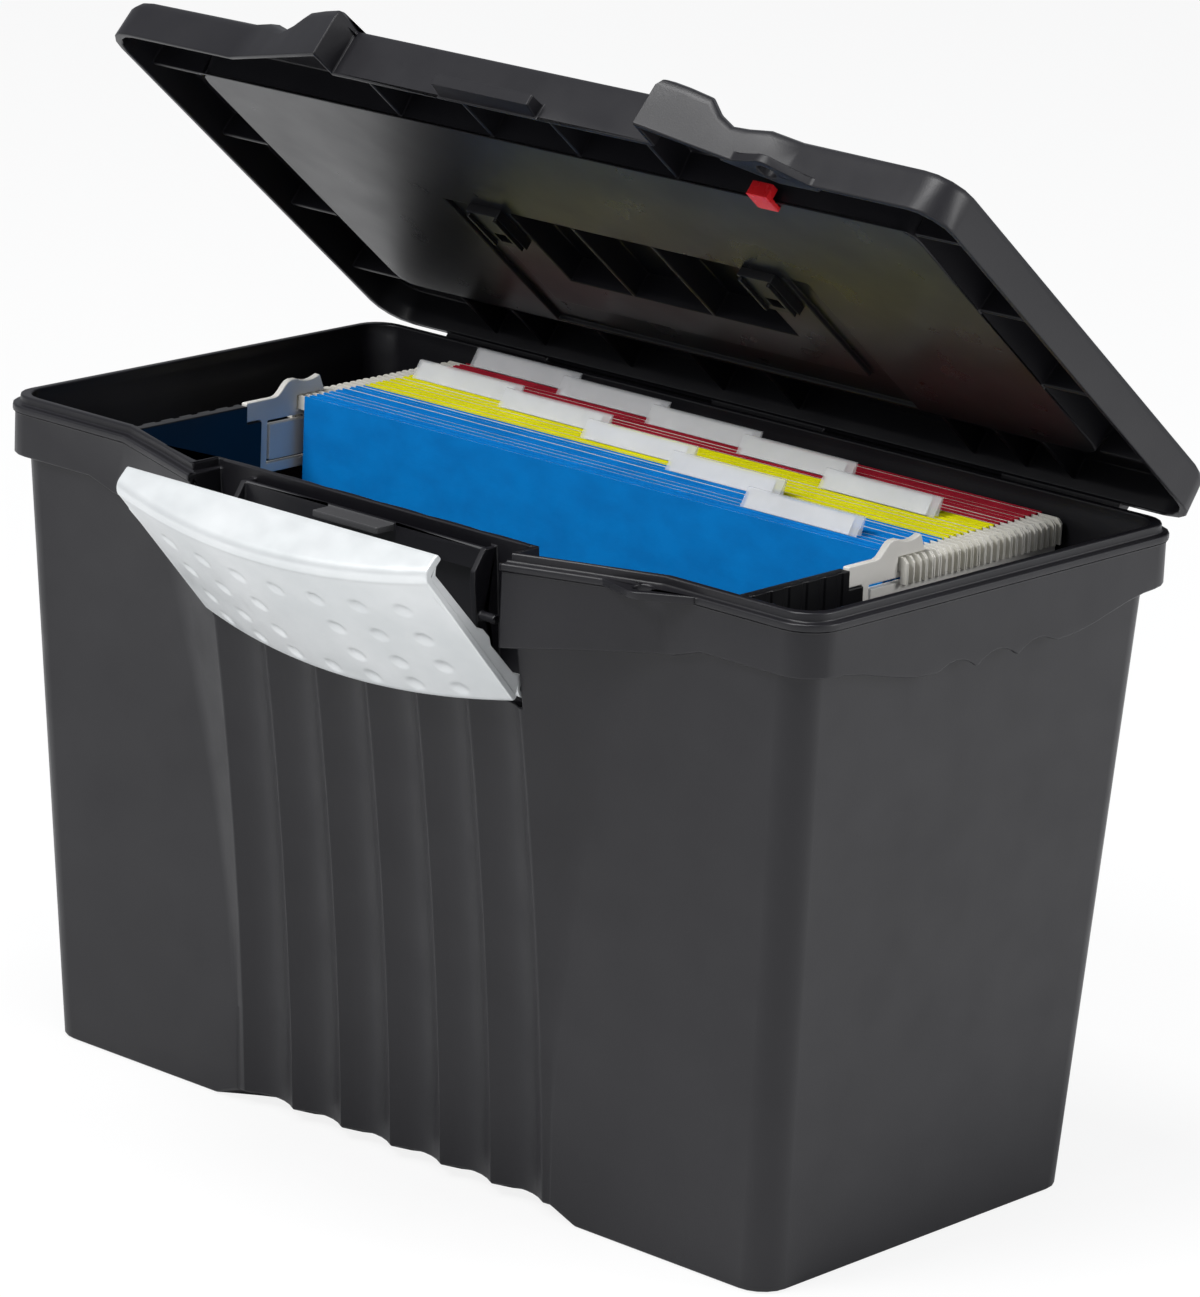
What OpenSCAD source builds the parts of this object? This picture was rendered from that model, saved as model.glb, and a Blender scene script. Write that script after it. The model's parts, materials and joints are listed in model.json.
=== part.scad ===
/* [Tub] */
// Length over the lip, corner to corner of the long side
lip_l = 420; // [400:1:450]
// Width over the lip
lip_w = 210.5; // [204:0.5:230]
// Height from the table to the lip's top
tub_h = 267; // [255:1:290]
// Thickness of the moulded walls
wall = 2.4; // [2:0.1:2.8]
// Thickness of the floor
floor_t = 3; // [2:0.1:5]
// Lean of every wall from upright, in degrees
draft = 3.02; // [2.6:0.02:3.4]
// Outside corner radius of the walls
corner_r = 12; // [8:1:16]
// Thickness of the lip that stands above the flange
lip_t = 3.2; // [2.8:0.1:3.6]
// Height of the lip above the flange
lip_rise = 3.5; // [3:0.1:5]
// Thickness of the flange
flange_t = 3; // [2:0.1:4]
// How far the flange stands out past the lip
flange_out = 3; // [2.4:0.1:3.4]
// How far the skirt's edge hangs below the lip's top at the corners
skirt_drop = 24; // [20:0.5:27]

/* [Column] */
// Half the width of the fluted column, to its outer ridge
column_half = 80.5; // [78:0.5:84]
// Number of flutes on each side of the middle ridge
flutes_half = 3; // [2:1:4]
// Depth of a flute
flute_depth = 4.5; // [3:0.1:5]
// How far the column leans out past the wall at the lip
column_out = 22; // [20:0.5:24]
// How much wider than its ridges the column's crease is at the floor
crease_low = 4.5; // [3:0.5:8]
// How much the crease spreads outward from floor to lip
crease_grow = 55; // [45:1:60]
// How far the column's foot is set back at the table
foot_back = 12; // [8:1:14]
// Height of the set-back foot
foot_h = 5; // [3.5:0.5:8]
// How far the set-back foot runs out past the outer ridge
foot_spread = 17; // [15:0.5:24]

/* [Latch] */
// Half the width of the latch
latch_half = 81; // [80.9:0.1:81.2]
// Height of the latch above its pivot, to the crease of its top band
latch_h = 74.2; // [70:0.2:76]
// Thickness of the latch's skin
latch_t = 2.5; // [2:0.1:3]
// How much the latch bows outward at its middle
latch_bow = 10.6; // [9:0.1:12]
// Radius of the lug round each latch pin
lug_r = 4; // [3.6:0.1:4.4]
// Radius of the latch pins
latch_pin_r = 2; // [1.5:0.1:2.2]
// Lean of the latch when it is shut, in degrees
latch_shut_lean = 7.4; // [7:0.1:8]
// How far the latch is swung open as it stands, in degrees
latch_open = 37; // [30:1:45]

/* [Lid] */
// How far the lid's skirt stands out past the lip
lid_over = 4.6; // [4.2:0.1:5.6]
// Height of the lid's rim above its lower edge
lid_h = 18.2; // [16:0.2:22]
// Thickness of the lid's skin
lid_t = 2.4; // [2:0.1:2.8]
// Extra height of the two humps beside the latch
hump_h = 4.8; // [3:0.2:6]
// Radius of the lid's upper edge
edge_r = 5; // [3:0.5:7]
// Length of the sunken panel
panel_l = 368; // [350:1:372]
// Front edge of the sunken panel, from the middle of the tub
panel_front = 82; // [76:1:86]
// Back edge of the sunken panel, from the middle of the tub
panel_back = 77; // [70:1:82]
// How far the lid is open as it stands, in degrees
lid_open = 40; // [0:1:60]

/* [Hinge] */
// Radius of the hinge knuckles
knuckle_r = 6; // [5.4:0.1:6.2]
// Radius of the hinge pins
hinge_pin_r = 2; // [1.5:0.1:2.6]
// Half the length of the whole hinge
hinge_half = 178; // [160:1:182]
// Outer end of each tub knuckle
tub_knuckle_out = 120; // [100:1:130]
// Inner end of each tub knuckle
tub_knuckle_in = 30; // [20:1:50]

/* [Handle] */
// Centre of each handle arm from the middle of the lid
arm_x = 88.5; // [84:0.5:92]
// Width of a handle arm
arm_w = 9; // [7:0.5:10]
// Thickness of the handle
handle_t = 6.6; // [5:0.1:7]
// Reach of the handle from its pins to the far side of the grip
handle_reach = 73; // [60:1:74]
// Width of the grip
grip_w = 18; // [14:1:20]
// Radius of the handle pins
handle_pin_r = 2; // [1.5:0.1:2.2]

/* [Padlock ears] */
// Distance of the padlock hole from the middle of the box
ear_x = 136.8; // [134:0.1:142]
// Radius of the padlock hole
ear_hole_r = 4; // [3:0.1:4.2]
// Material left round the padlock hole
ear_rim = 3.6; // [3:0.1:6]

/* [Files] */
// Width of a hanging folder
folder_w = 304.6; // [296:0.1:306]
// Height of a hanging folder
folder_h = 238; // [200:1:242]
// Room between the last folder and the tub's back wall
folder_back = 1; // [0.9:0.1:3]
// Thickness of the card that a folder is made of
card_t = 0.7; // [0.4:0.05:0.8]
// Number of blue folders, at the front
blue_count = 9; // [4:1:9]
// Number of yellow folders
yellow_count = 8; // [4:1:8]
// Number of red folders, at the back
red_count = 8; // [4:1:8]
// Face of the first folder, from the middle of the tub
folder_front = 3.6; // [3:0.1:6]
// Room between a folder and each file rail
rail_space = 4.2; // [3:0.1:6]
// Thickness of a file rail
rail_t = 3; // [2:0.1:3.6]
// Thickness of a partition
partition_t = 5; // [4:0.5:7]
// Back edge of a partition, in front of the middle of the tub
partition_back = 17; // [12:1:30]
// Width of an index tab
tab_w = 58; // [40:1:60]
// Rise of an index tab above its folder
tab_h = 7; // [5:0.1:7.1]
// Lean of an index tab, from its foot to its top
tab_lean = 4.6; // [2:0.1:4.8]

/* [Hidden] */

charcoal = [0.17, 0.17, 0.18];
silver = [0.78, 0.79, 0.81];
cream = [0.90, 0.88, 0.84];
blue = [0.0, 0.44, 0.74];
yellow = [0.92, 0.92, 0.05];
red = [0.72, 0.10, 0.20];

// Clearance between pieces that move, and the running clearance of a pin
gap = 0.3;
run = 0.08;
big = 60;

// Walls: distance of each wall's outside from the middle at height z
side_inset = 3.6;
front_inset = 0.3;
back_inset = 2.4;
function rise(z) = (tub_h - z) * tan(draft);
function side_at(z) = lip_l / 2 - side_inset - rise(z);
function front_at(z) = lip_w / 2 - front_inset - rise(z);
function back_at(z) = lip_w / 2 - back_inset - rise(z);

// Column: ridge line, crease, and the set-back foot
column_power = 1.95;
flute_w = column_half / flutes_half;
flute_steps = 6;
function ridge_at(z) = front_at(z) + column_out * pow(z / tub_h, column_power);
function crease_at(z) = column_half
    + (z < foot_h ? foot_spread : crease_low + crease_grow * pow(z / tub_h, 2));
function foot_at(z) = z < foot_h ? foot_back : 0;

// Latch recess: its face leans with height and its sides clear the latch
recess_half = latch_half + gap;
recess_out = 7.85;
recess_lean = 0.088;
recess_drop = 61.5;
recess_z = tub_h - recess_drop;
function recess_at(z) = lip_w / 2 + recess_out - (tub_h - z) * recess_lean;
pivot_z = tub_h - 54;
pivot_y = -(recess_at(pivot_z) + lug_r + gap);
latch_lean = latch_shut_lean + latch_open;

flange_z = tub_h - lip_rise;
bulge = ridge_at(tub_h);
crease_top = crease_at(tub_h);

// Hinge line behind the lip
hinge_y = lip_w / 2 + knuckle_r + 2.75;
hinge_z = flange_z + 1 - knuckle_r;

// Lid, given as if it were shut
lid_z = flange_z + gap;
lid_top = lid_z + lid_h;
lid_side = lip_l / 2 + lid_over;
lid_front = lip_w / 2 + lid_over;
lid_back = lip_w / 2 + lid_over;
lid_r = corner_r + 2;
lid_mid = recess_at(tub_h) + gap + lid_t;
hump_in = recess_half + 0.4;
hump_front = bulge + 2.5;
panel_z = tub_h + 0.5;
panel_r = 8;

ear_wall = 1.75;
ear_y = -(lip_w / 2 + flange_out - 1 + ear_hole_r + ear_wall);

rail_x = folder_w / 2 + rail_space + rail_t / 2;
rail_z = tub_h - 13.3;
folder_top = tub_h - 7;
folder_low = folder_top - folder_h;
folder_count = blue_count + yellow_count + red_count;
function pitch_at(z) = (back_at(z) - wall - folder_back - folder_front) / folder_count;
folder_pitch = pitch_at(folder_top);
rail_drop = 24;
inside_back = back_at(rail_z - rail_drop) - wall - gap;

// Rounded corner from angle a to a + 90, centred on c
function arc(c, r, a, n) = [for (i = [0:n]) c + r * [cos(a + 90 * i / n), sin(a + 90 * i / n)]];

// Whole outline from its right half, which starts on the middle line
function mirrored(half) = concat(half, [for (i = [len(half) - 1:-1:0]) if (half[i][0] > 0.001)
    [-half[i][0], half[i][1]]]);

function flute_row(y, d) = [for (k = [0:flutes_half - 1]) for (j = [0:flute_steps - 1])
    [flute_w * (k + j / flute_steps), -(y - d * (1 - pow(2 * j / flute_steps - 1, 2)))]];

// Plan of the tub at one height: column, two points on its flank, crease, and the four walls
function plan(hx, fy, by, ry, d, p1, p2, cx) = mirrored(concat(
    flute_row(ry, d), [[column_half, -ry], p1, p2, [cx, -fy]],
    arc([hx - corner_r, -fy + corner_r], corner_r, -90, 5),
    arc([hx - corner_r, by - corner_r], corner_r, 0, 5)));

flank_x = recess_half + wall;
flank_hollow = 0.6;
function on_flank(x, ry, fy, cx) = let(t = (x - column_half) / (cx - column_half))
    ry + (fy - ry) * t - flank_hollow * sin(180 * t);

function outer_plan(z) = let(fy = front_at(z), cx = crease_at(z), ry = ridge_at(z) - foot_at(z),
                             mx = (flank_x + cx) / 2)
    plan(side_at(z), fy, back_at(z), ry, flute_depth,
         [flank_x, -on_flank(flank_x, ry, fy, cx)], [mx, -on_flank(mx, ry, fy, cx)], cx);

function lip_plan(d) = let(fy = lip_w / 2 + d, ry = bulge + d, mx = (flank_x + crease_top) / 2)
    plan(lip_l / 2 + d, fy, fy, ry, 0, [flank_x, -on_flank(flank_x, ry, fy, crease_top)],
         [mx, -on_flank(mx, ry, fy, crease_top)], crease_top);

// Inside of the tub: the column's inside stays behind the flutes and behind the latch recess
function inner_foot(z) = z < foot_h ? foot_back * (1 - z / foot_h) + wall : 0;
function inner_column(z) = min(ridge_at(z) - flute_depth - wall - inner_foot(z), recess_at(z) - wall);
function inner_plan(z, hx, fy, by) = let(cx = crease_at(z) + 1, y = inner_column(z),
        flank = z < foot_h ? 0 : on_flank(flank_x, ridge_at(z), front_at(z), crease_at(z)) - wall)
    plan(hx, fy, by, y, flute_depth / 6, [flank_x, -y], [flank_x + 0.3, -max(y + 0.2, flank)], cx);

function at_z(pts, z) = [for (p = pts) [p[0], p[1], z]];
function body_inner(z) = at_z(inner_plan(z, side_at(z) - wall, front_at(z) - wall, back_at(z) - wall), z);
function lip_inner(z) = at_z(inner_plan(z, lip_l / 2 - lip_t, lip_w / 2 - lip_t, lip_w / 2 - lip_t), z);

// A closed solid from rings of equal count, each following the last. With a middle its ends are fans
module rings(list, middle = undef) {
    n = len(list[0]);
    last = len(list) - 1;
    hub = (last + 1) * n;
    ends = middle == undef
        ? [[for (i = [0:n - 1]) i], [for (i = [n - 1:-1:0]) last * n + i]]
        : concat([for (i = [0:n - 1]) [hub, i, (i + 1) % n]],
                 [for (i = [0:n - 1]) [hub + 1, last * n + (i + 1) % n, last * n + i]]);
    hubs = middle == undef ? [] : [concat(middle, list[0][0][2]), concat(middle, list[last][0][2])];
    polyhedron(
        points = concat([for (ring = list) each ring], hubs),
        faces = concat(ends,
            [for (k = [0:last - 1]) for (i = [0:n - 1]) [k * n + i, k * n + n + i, k * n + n + (i + 1) % n]],
            [for (k = [0:last - 1]) for (i = [0:n - 1])
                [k * n + i, k * n + n + (i + 1) % n, k * n + (i + 1) % n]]));
}

wall_steps = [0, foot_h, 0.15 * tub_h, 0.3 * tub_h, 0.43 * tub_h, 0.54 * tub_h, 0.64 * tub_h, 0.73 * tub_h,
              0.82 * tub_h, 0.89 * tub_h, tub_h - 15];
inner_steps = [tub_h - 13, 0.8 * tub_h, 0.7 * tub_h, 0.56 * tub_h, 0.4 * tub_h, 0.2 * tub_h, floor_t];

module tub_walls() rings(concat(
    [for (z = wall_steps) at_z(outer_plan(z), z)],
    [at_z(lip_plan(0), tub_h - 8), at_z(lip_plan(0), tub_h)],
    [lip_inner(tub_h), lip_inner(tub_h - 5)],
    [for (z = inner_steps) body_inner(z)]), [0, 0]);

// Outline of the lip, moved outward by d
rim_slant = 0.3;
function rim(d) = mirrored(concat(
    [[column_half + rim_slant * d, -(bulge + d)], [crease_top + rim_slant * d, -(lip_w / 2 + d)]],
    arc([lip_l / 2 - corner_r, -lip_w / 2 + corner_r], corner_r + d, -90, 5),
    arc([lip_l / 2 - corner_r, lip_w / 2 - corner_r], corner_r + d, 0, 5)));

module rim_band(z0, z1, d0, d1) translate([0, 0, z0]) linear_extrude(z1 - z0) difference() {
    polygon(rim(d1));
    polygon(rim(d0));
}

// Lower edge of the skirt along the short sides, with three finger scallops
scallop = 12;
scallop_top = tub_h - 30.5;
scallop_low = tub_h - 35;
skirt_z = tub_h - skirt_drop;
skirt_low = scallop_low + 1.5;
grip_y = lip_w / 2 - 9;
function swell(i) = skirt_z + (skirt_low - skirt_z) * (1 - cos(180 * i / 6)) / 2;
function scallop_z(j) = scallop_low + (scallop_top - scallop_low) * (1 - pow(2 * j / 6 - 1, 2));
side_edge = concat(
    [for (i = [0:6]) [-grip_y + (grip_y - 3 * scallop) * i / 6, swell(i)]],
    [for (k = [-1:1]) for (j = [(k == -1 ? 1 : 0):5]) [scallop * (2 * k - 1 + 2 * j / 6), scallop_z(j)]],
    [for (i = [6:-1:0]) [grip_y - (grip_y - 3 * scallop) * i / 6, swell(i)]]);

// Lower edge of the skirt along the front, right of the middle
front_edge = [[column_half - 6, tub_h - 37], [112, tub_h - 32], [147, tub_h - 28], [160, skirt_z]];

module skirt_cut() {
    low = tub_h - 55;
    for (s = [-1, 1])
        translate([s > 0 ? lip_l / 2 - 6 : -lip_l / 2 - 6, 0, 0]) rotate([90, 0, 90]) linear_extrude(12)
            polygon(concat([[-lip_w, low], [-lip_w, skirt_z]], side_edge, [[lip_w, skirt_z], [lip_w, low]]));
    translate([0, -lip_w / 2 + 6, 0]) rotate([90, 0, 0]) linear_extrude(big)
        polygon(concat([[-lip_l, low], [-lip_l, skirt_z]],
                       [for (i = [3:-1:0]) [-front_edge[i][0], front_edge[i][1]]], front_edge,
                       [[lip_l, skirt_z], [lip_l, low]]));
    translate([-lip_l, lip_w / 2 - 6, low]) cube([2 * lip_l, big, skirt_z - low]);
}

module skirt() difference() {
    rim_band(tub_h - 45, flange_z - 1, 0.2, flange_out - 1);
    skirt_cut();
}

module x_rod(x0, x1, y, z, r) translate([x0, y, z]) rotate([0, 90, 0]) cylinder(h = x1 - x0, r = r, $fn = 64);
module x_slab(x0, x1, pts) translate([x0, 0, 0]) rotate([90, 0, 90]) linear_extrude(x1 - x0) polygon(pts);

module recess_cut() x_slab(-recess_half, recess_half, [[-lip_w, recess_z], [-recess_at(recess_z), recess_z],
    [-recess_at(tub_h + 5), tub_h + 5], [-lip_w, tub_h + 5]]);

// The lip ends short of the latch recess, where the lid's front steps back
lip_end = wall - 0.5;
lip_end_in = 1;
module lip_end_cut(s) block(s > 0 ? recess_half - lip_end_in : -recess_half - lip_end,
    s > 0 ? recess_half + lip_end : -recess_half + lip_end_in, -lip_w, -recess_at(tub_h) + wall / 2,
    flange_z + gap / 2, tub_h + 5);

// Cheeks, ridge, shelf and stub pins inside the latch recess
cheek_x = 62.8;
cheek_t = 2.4;
ridge_top = lid_z - 0.6;
ridge_t = 2.4;
stub_l = 9;
stub_r = 1.8;
function recess_skin(z) = -recess_at(z) + 0.8;
module latch_housing() {
    y = -lid_mid - 0.2;
    for (s = [-1, 1]) {
        x_slab(s * cheek_x - cheek_t / 2, s * cheek_x + cheek_t / 2,
            [[recess_skin(recess_z), recess_z + 2], [pivot_y - 3, recess_z + 2], [pivot_y - 8, pivot_z + 12],
             [pivot_y - 11.5, pivot_z + 37], [pivot_y - 11.5, pivot_z + 42], [pivot_y - 6, ridge_top],
             [recess_skin(ridge_top), ridge_top]]);
        x_rod(s > 0 ? cheek_x : -cheek_x - stub_l, s > 0 ? cheek_x + stub_l : -cheek_x,
              pivot_y - 7, pivot_z + 25, stub_r);
    }
    x_slab(-cheek_x, cheek_x, [[y - ridge_t, ridge_top - 9], [y, ridge_top - 9], [y, ridge_top],
                               [y - ridge_t, ridge_top]]);
    x_slab(-cheek_x, cheek_x, [[y - ridge_t, ridge_top - 9], [recess_skin(ridge_top), ridge_top - 9],
                               [recess_skin(ridge_top), ridge_top - 6.6], [y - ridge_t, ridge_top - 6.6]]);
    x_slab(-17, 17, [[-lid_mid - 12, ridge_top - 3], [-lid_mid - 2, ridge_top - 3],
                     [-lid_mid - 2, ridge_top - 0.4], [-lid_mid - 12, ridge_top - 0.4]]);
}

// Padlock ear: a plate with a round nose, at height z. Its root stays outside the tub's lip
ear_run = 25;
ear_root = 7;
lid_ear_t = 3.5;
module ear_outline() polygon(concat(
    [[ear_x - ear_run, ear_y + ear_root], [ear_x - ear_run, ear_y - 1]],
    [for (a = [-120:20:-40]) [ear_x, ear_y] + (ear_hole_r + ear_rim) * [cos(a), sin(a)]],
    [[ear_x + ear_run - 4, ear_y + 4.6], [ear_x + ear_run - 4, ear_y + ear_root]]));
module ear_plate(z, t, root) translate([0, 0, z]) linear_extrude(t) difference() {
    ear_outline();
    polygon(rim(root));
}

module ear_hole(z, t) translate([ear_x, ear_y, z - 1]) cylinder(h = t + 2, r = ear_hole_r, $fn = 48);

module knuckles(x0, x1) x_rod(x0 + gap / 2, x1 - gap / 2, hinge_y, hinge_z, knuckle_r);

module tub_knuckle_row() for (s = [-1, 1]) {
    x0 = s > 0 ? tub_knuckle_in : -tub_knuckle_out;
    x1 = x0 + tub_knuckle_out - tub_knuckle_in;
    knuckles(x0, x1);
    x_slab(x0 + gap / 2, x1 - gap / 2, [[lip_w / 2 + 1, hinge_z - knuckle_r], [hinge_y, hinge_z - knuckle_r],
                                        [hinge_y, hinge_z], [lip_w / 2 + 1, hinge_z]]);
}

hinge_bore_half = hinge_half - 1.5;
module hinge_bore() x_rod(-hinge_bore_half, hinge_bore_half, hinge_y, hinge_z, hinge_pin_r + run);

module tub() color(charcoal) difference() {
    union() {
        difference() {
            union() {
                tub_walls();
                rim_band(flange_z - flange_t, flange_z, -1, flange_out);
                skirt();
            }
            recess_cut();
            for (s = [-1, 1]) lip_end_cut(s);
            translate([-hinge_half - 1, hinge_y - knuckle_r - gap - 0.1, flange_z - flange_t - 1])
                cube([2 * hinge_half + 2, 20, flange_t + 2]);
        }
        latch_housing();
        ear_plate(flange_z - flange_t, flange_t, -1);
        tub_knuckle_row();
    }
    hinge_bore();
    ear_hole(flange_z - flange_t, flange_t);
    x_rod(-flank_x - 0.5, -flank_x + wall + 1, pivot_y, pivot_z, latch_pin_r);
    x_rod(flank_x - wall - 1, flank_x + 0.5, pivot_y, pivot_z, latch_pin_r);
}

// Partition: a grooved wall from the floor to just under the rail
partition_top = tub_h - 7.5;
notch = 8.3;
module partition(s) color(charcoal) difference() {
    x_slab(s * rail_x - partition_t / 2, s * rail_x + partition_t / 2,
        [[-front_at(floor_t) + wall + gap, floor_t], [-partition_back, floor_t],
         [-partition_back, rail_z - 1.5], [-partition_back - notch, rail_z - 1.5],
         [-partition_back - notch, partition_top], [-front_at(partition_top) + wall + gap, partition_top]]);
    for (i = [0:6])
        translate([s * (rail_x + partition_t / 2) - 0.8, -partition_back - 15 - 10 * i, floor_t + 10])
            cube([1.6, 3, tub_h]);
}
module partition_left() partition(-1);
module partition_right() partition(1);

// File rail: front stop whose humped beak hangs over the first rods, spring tongue, and a straight run back
stop_z = tub_h - 6.5;
hump_z = tub_h - 0.4;
tongue_y = -12;
tongue_l = 26;
slit = 1.4;
module file_rail(s) color(cream) difference() {
    x_slab(s * rail_x - rail_t / 2, s * rail_x + rail_t / 2, concat(
        [[-partition_back - notch + gap, rail_z - 1.2], [-partition_back - notch + gap, stop_z],
         [-9, stop_z]],
        [for (i = [0:5]) [-9 + 9 * i / 5, stop_z + (hump_z - stop_z) * (1 - cos(180 * i / 5)) / 2]],
        [for (i = [0:6]) [3 + 2.2 * i, hump_z - 1.6 * sin(180 * i / 6)]],
        [[folder_front + 15.5, rod_top + gap], [folder_front, rod_top + gap], [folder_front, rail_z],
         [inside_back, rail_z], [inside_back, rail_z - rail_drop],
         [-partition_back + gap, rail_z - rail_drop], [-partition_back + gap, rail_z - 1.2]]));
    translate([s * rail_x - rail_t, tongue_y, rail_z - 4]) cube([2 * rail_t, tongue_l, slit + 0.6]);
    translate([s * rail_x - rail_t, tongue_y, rail_z - 20]) cube([2 * rail_t, tongue_l, slit]);
    translate([s * rail_x - rail_t, tongue_y - 1, rail_z - 20]) cube([2 * rail_t, slit, 18]);
}
module file_rail_left() file_rail(-1);
module file_rail_right() file_rail(1);

// Latch, in its own frame: u up from the pivot, v outward
module in_latch() translate([0, pivot_y, pivot_z]) rotate([latch_lean, 0, 0]) children();
latch_out = 7.4;
latch_in = 3;
band_back = 6.1;
face_lean = atan(latch_in / latch_h);
function bow(x) = latch_bow * (1 - pow(x / latch_half, 2));
function skin_v(u) = latch_out - latch_in * u / latch_h;
function bow_arc(v, n = 12) = [for (i = [-n:n]) [latch_half * i / n, -(v + bow(latch_half * i / n))]];
function turned(pts) = [for (i = [len(pts) - 1:-1:0]) pts[i]];
module latch_skin() {
    rotate([-face_lean, 0, 0]) translate([0, 0, 1]) linear_extrude(latch_h)
        polygon(concat(bow_arc(latch_out), turned(bow_arc(latch_out - latch_t))));
    translate([0, 0, latch_h - 0.4]) linear_extrude(latch_t + 0.8) polygon(concat(
        bow_arc(skin_v(latch_h) + 0.2), [[latch_half, band_back], [-latch_half, band_back]]));
}

module latch_side(x0, x1) x_slab(x0, x1, [[-latch_out + 1.6, 1], [-latch_out + 2, latch_h - 10],
    [-latch_out + 4, latch_h - 3], [band_back - 0.5, latch_h + 1.6], [0.4, latch_h - 3], [0.2, 38], [1.8, 35],
    [1.8, 30], [0.2, 27], [0.2, 9], [lug_r - 0.4, 1], [0, -2]]);

hook_u = latch_h - 14.7;
hook_in = 8;
hook_out = 20;
hook_root = skin_v(hook_u + 3.6) + bow(hook_out) - latch_t + 0.8;
module latch_hook(x0, x1) x_slab(x0, x1, [[-hook_root, hook_u], [3, hook_u], [3, hook_u + 2],
    [0, hook_u + 3.4], [-hook_root, hook_u + 3.6]]);

side_in = latch_half - 5.5;
side_out = latch_half - 0.5;
module front_latch() color(silver) in_latch() difference() {
    union() {
        latch_skin();
        for (s = [-1, 1]) {
            latch_side(s > 0 ? side_in : -side_out, s > 0 ? side_out : -side_in);
            x_rod(s > 0 ? side_in : -side_out, s > 0 ? side_out : -side_in, 0, 0, lug_r);
        }
        latch_hook(-hook_out, -hook_in);
        latch_hook(hook_in, hook_out);
    }
    x_rod(-latch_half - 1, latch_half + 1, 0, 0, latch_pin_r + run);
}

latch_pin_in = latch_half - 8;
module latch_pin(s) color(charcoal)
    x_rod(s > 0 ? latch_pin_in : -flank_x, s > 0 ? flank_x : -latch_pin_in, pivot_y, pivot_z, latch_pin_r);
module latch_pin_left() latch_pin(-1);
module latch_pin_right() latch_pin(1);

// Everything on the lid is drawn shut and swung open about the hinge
module on_lid() translate([0, hinge_y, hinge_z]) rotate([-lid_open, 0, 0]) translate([0, -hinge_y, -hinge_z])
    children();

// Front of the lid: stations along the right half, and the extra height of each one's top
hump_out = 104;
scoop_x = 116;
front_end = 143;
function hump_line(x) = hump_front - (hump_front - lid_front) * (x - hump_in) / (front_end - hump_in);
lid_stations = [0, 25, 50, hump_in - 0.3, hump_in, 94, hump_out, 110, scoop_x, 122, 130, front_end];
lid_bump = [3.8, 3.8, 3.8, 3.8, hump_h, hump_h, hump_h - 0.6, -1, -3.6, -2.4, 0, 0];
step_share = 0.6;
function is_step(i) = i == 3 || i == 4;
function station(i, hx, d, full) = full && is_step(i) ? lid_stations[i] + step_share * d
    : lid_stations[i] * min(1, hx / lid_side);
function lid_plan(hx, fy, by, r, mid, full) = let(d = lid_front - fy) mirrored(concat(
    [for (i = [0:11]) let(x = station(i, hx, d, full)) [x, i < 4 ? -mid : full ? -(hump_line(x) - d) : -fy]],
    arc([hx - r, -fy + r], r, -90, 4), arc([hx - r, by - r], r, 0, 4)));

lid_ring_n = 12;
function bump_of(i, n) = i < lid_ring_n ? lid_bump[i] : i > n - lid_ring_n ? lid_bump[n - i] : 0;
function lid_edge(d, z, bump) =
    let(p = lid_plan(lid_side - d, lid_front - d, lid_back - d, lid_r, lid_mid - d, true))
    [for (i = [0:len(p) - 1]) [p[i][0], p[i][1], z + bump * bump_of(i, len(p))]];
function lid_well(d, z) = at_z(
    lid_plan(panel_l / 2 + d, panel_front + d, panel_back + d, panel_r, panel_front + d, false), z);

module lid_shell() rings([
    lid_well(0, panel_z), lid_well(1.5, lid_top - lid_t), lid_edge(lid_t + 0.8, lid_top - lid_t - 1.6, 1),
    lid_edge(lid_t, lid_z, 0), lid_edge(0, lid_z, 0), lid_edge(0.4, lid_top - edge_r, 0.9),
    lid_edge(0.4 + 0.3 * edge_r, lid_top - 0.35 * edge_r, 1), lid_edge(0.4 + edge_r, lid_top, 1),
    lid_well(-0.6, lid_top), lid_well(-lid_t, panel_z + lid_t)], [0, 0]);

// Ribs under the rim, from the skirt to the wall of the sunken panel
rib_t = 1.8;
rib_inset = 2.7;
module lid_ribs() {
    z = panel_z + 0.6;
    h = lid_top - lid_t + 0.5 - z;
    for (s = [-1, 1])
        for (y = [-79, -27, 26, 75])
            translate([s > 0 ? panel_l / 2 : -lid_side + rib_inset, y - rib_t / 2, z])
                cube([lid_side - panel_l / 2 - rib_inset, rib_t, h]);
    for (x = [-72, -23, 22, 71])
        translate([x - rib_t / 2, -lid_mid + rib_inset, z]) cube([rib_t, lid_mid - panel_front - 1, h]);
    for (x = [-152, -124, -76, -26, 14, 104, 130, 153])
        translate([x - rib_t / 2, panel_back, z]) cube([rib_t, lid_back - panel_back - rib_inset, h]);
}

// A raised box in the sunken panel, hollow below
deck_x = 62;
deck_y0 = -19;
deck_y1 = 36;
deck_top = lid_top - 0.6;
arm_gap = 4;
trough_z = lid_top - handle_t - lid_t - 0.9;
trough_in = arm_x - arm_w / 2 - arm_gap;
trough_out = arm_x + arm_w / 2 + arm_gap;
trough_back = min(handle_reach + 1.4, panel_back + 3);
trough_y1 = handle_reach - grip_w - 1.4;
module block(x0, x1, y0, y1, z0, z1) translate([x0, y0, z0]) cube([x1 - x0, y1 - y0, z1 - z0]);

handle_z = lid_top - handle_t / 2 - 0.6;
post_t = 2.6;
module handle_posts()
    for (s = [-1, 1])
        for (x = [trough_in + 0.2, trough_out - post_t - 0.2])
            block(s > 0 ? x : -x - post_t, s > 0 ? x + post_t : -x, -handle_t / 2 - 1, handle_t / 2 + 1,
                  trough_z, lid_top - 0.2);

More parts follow.
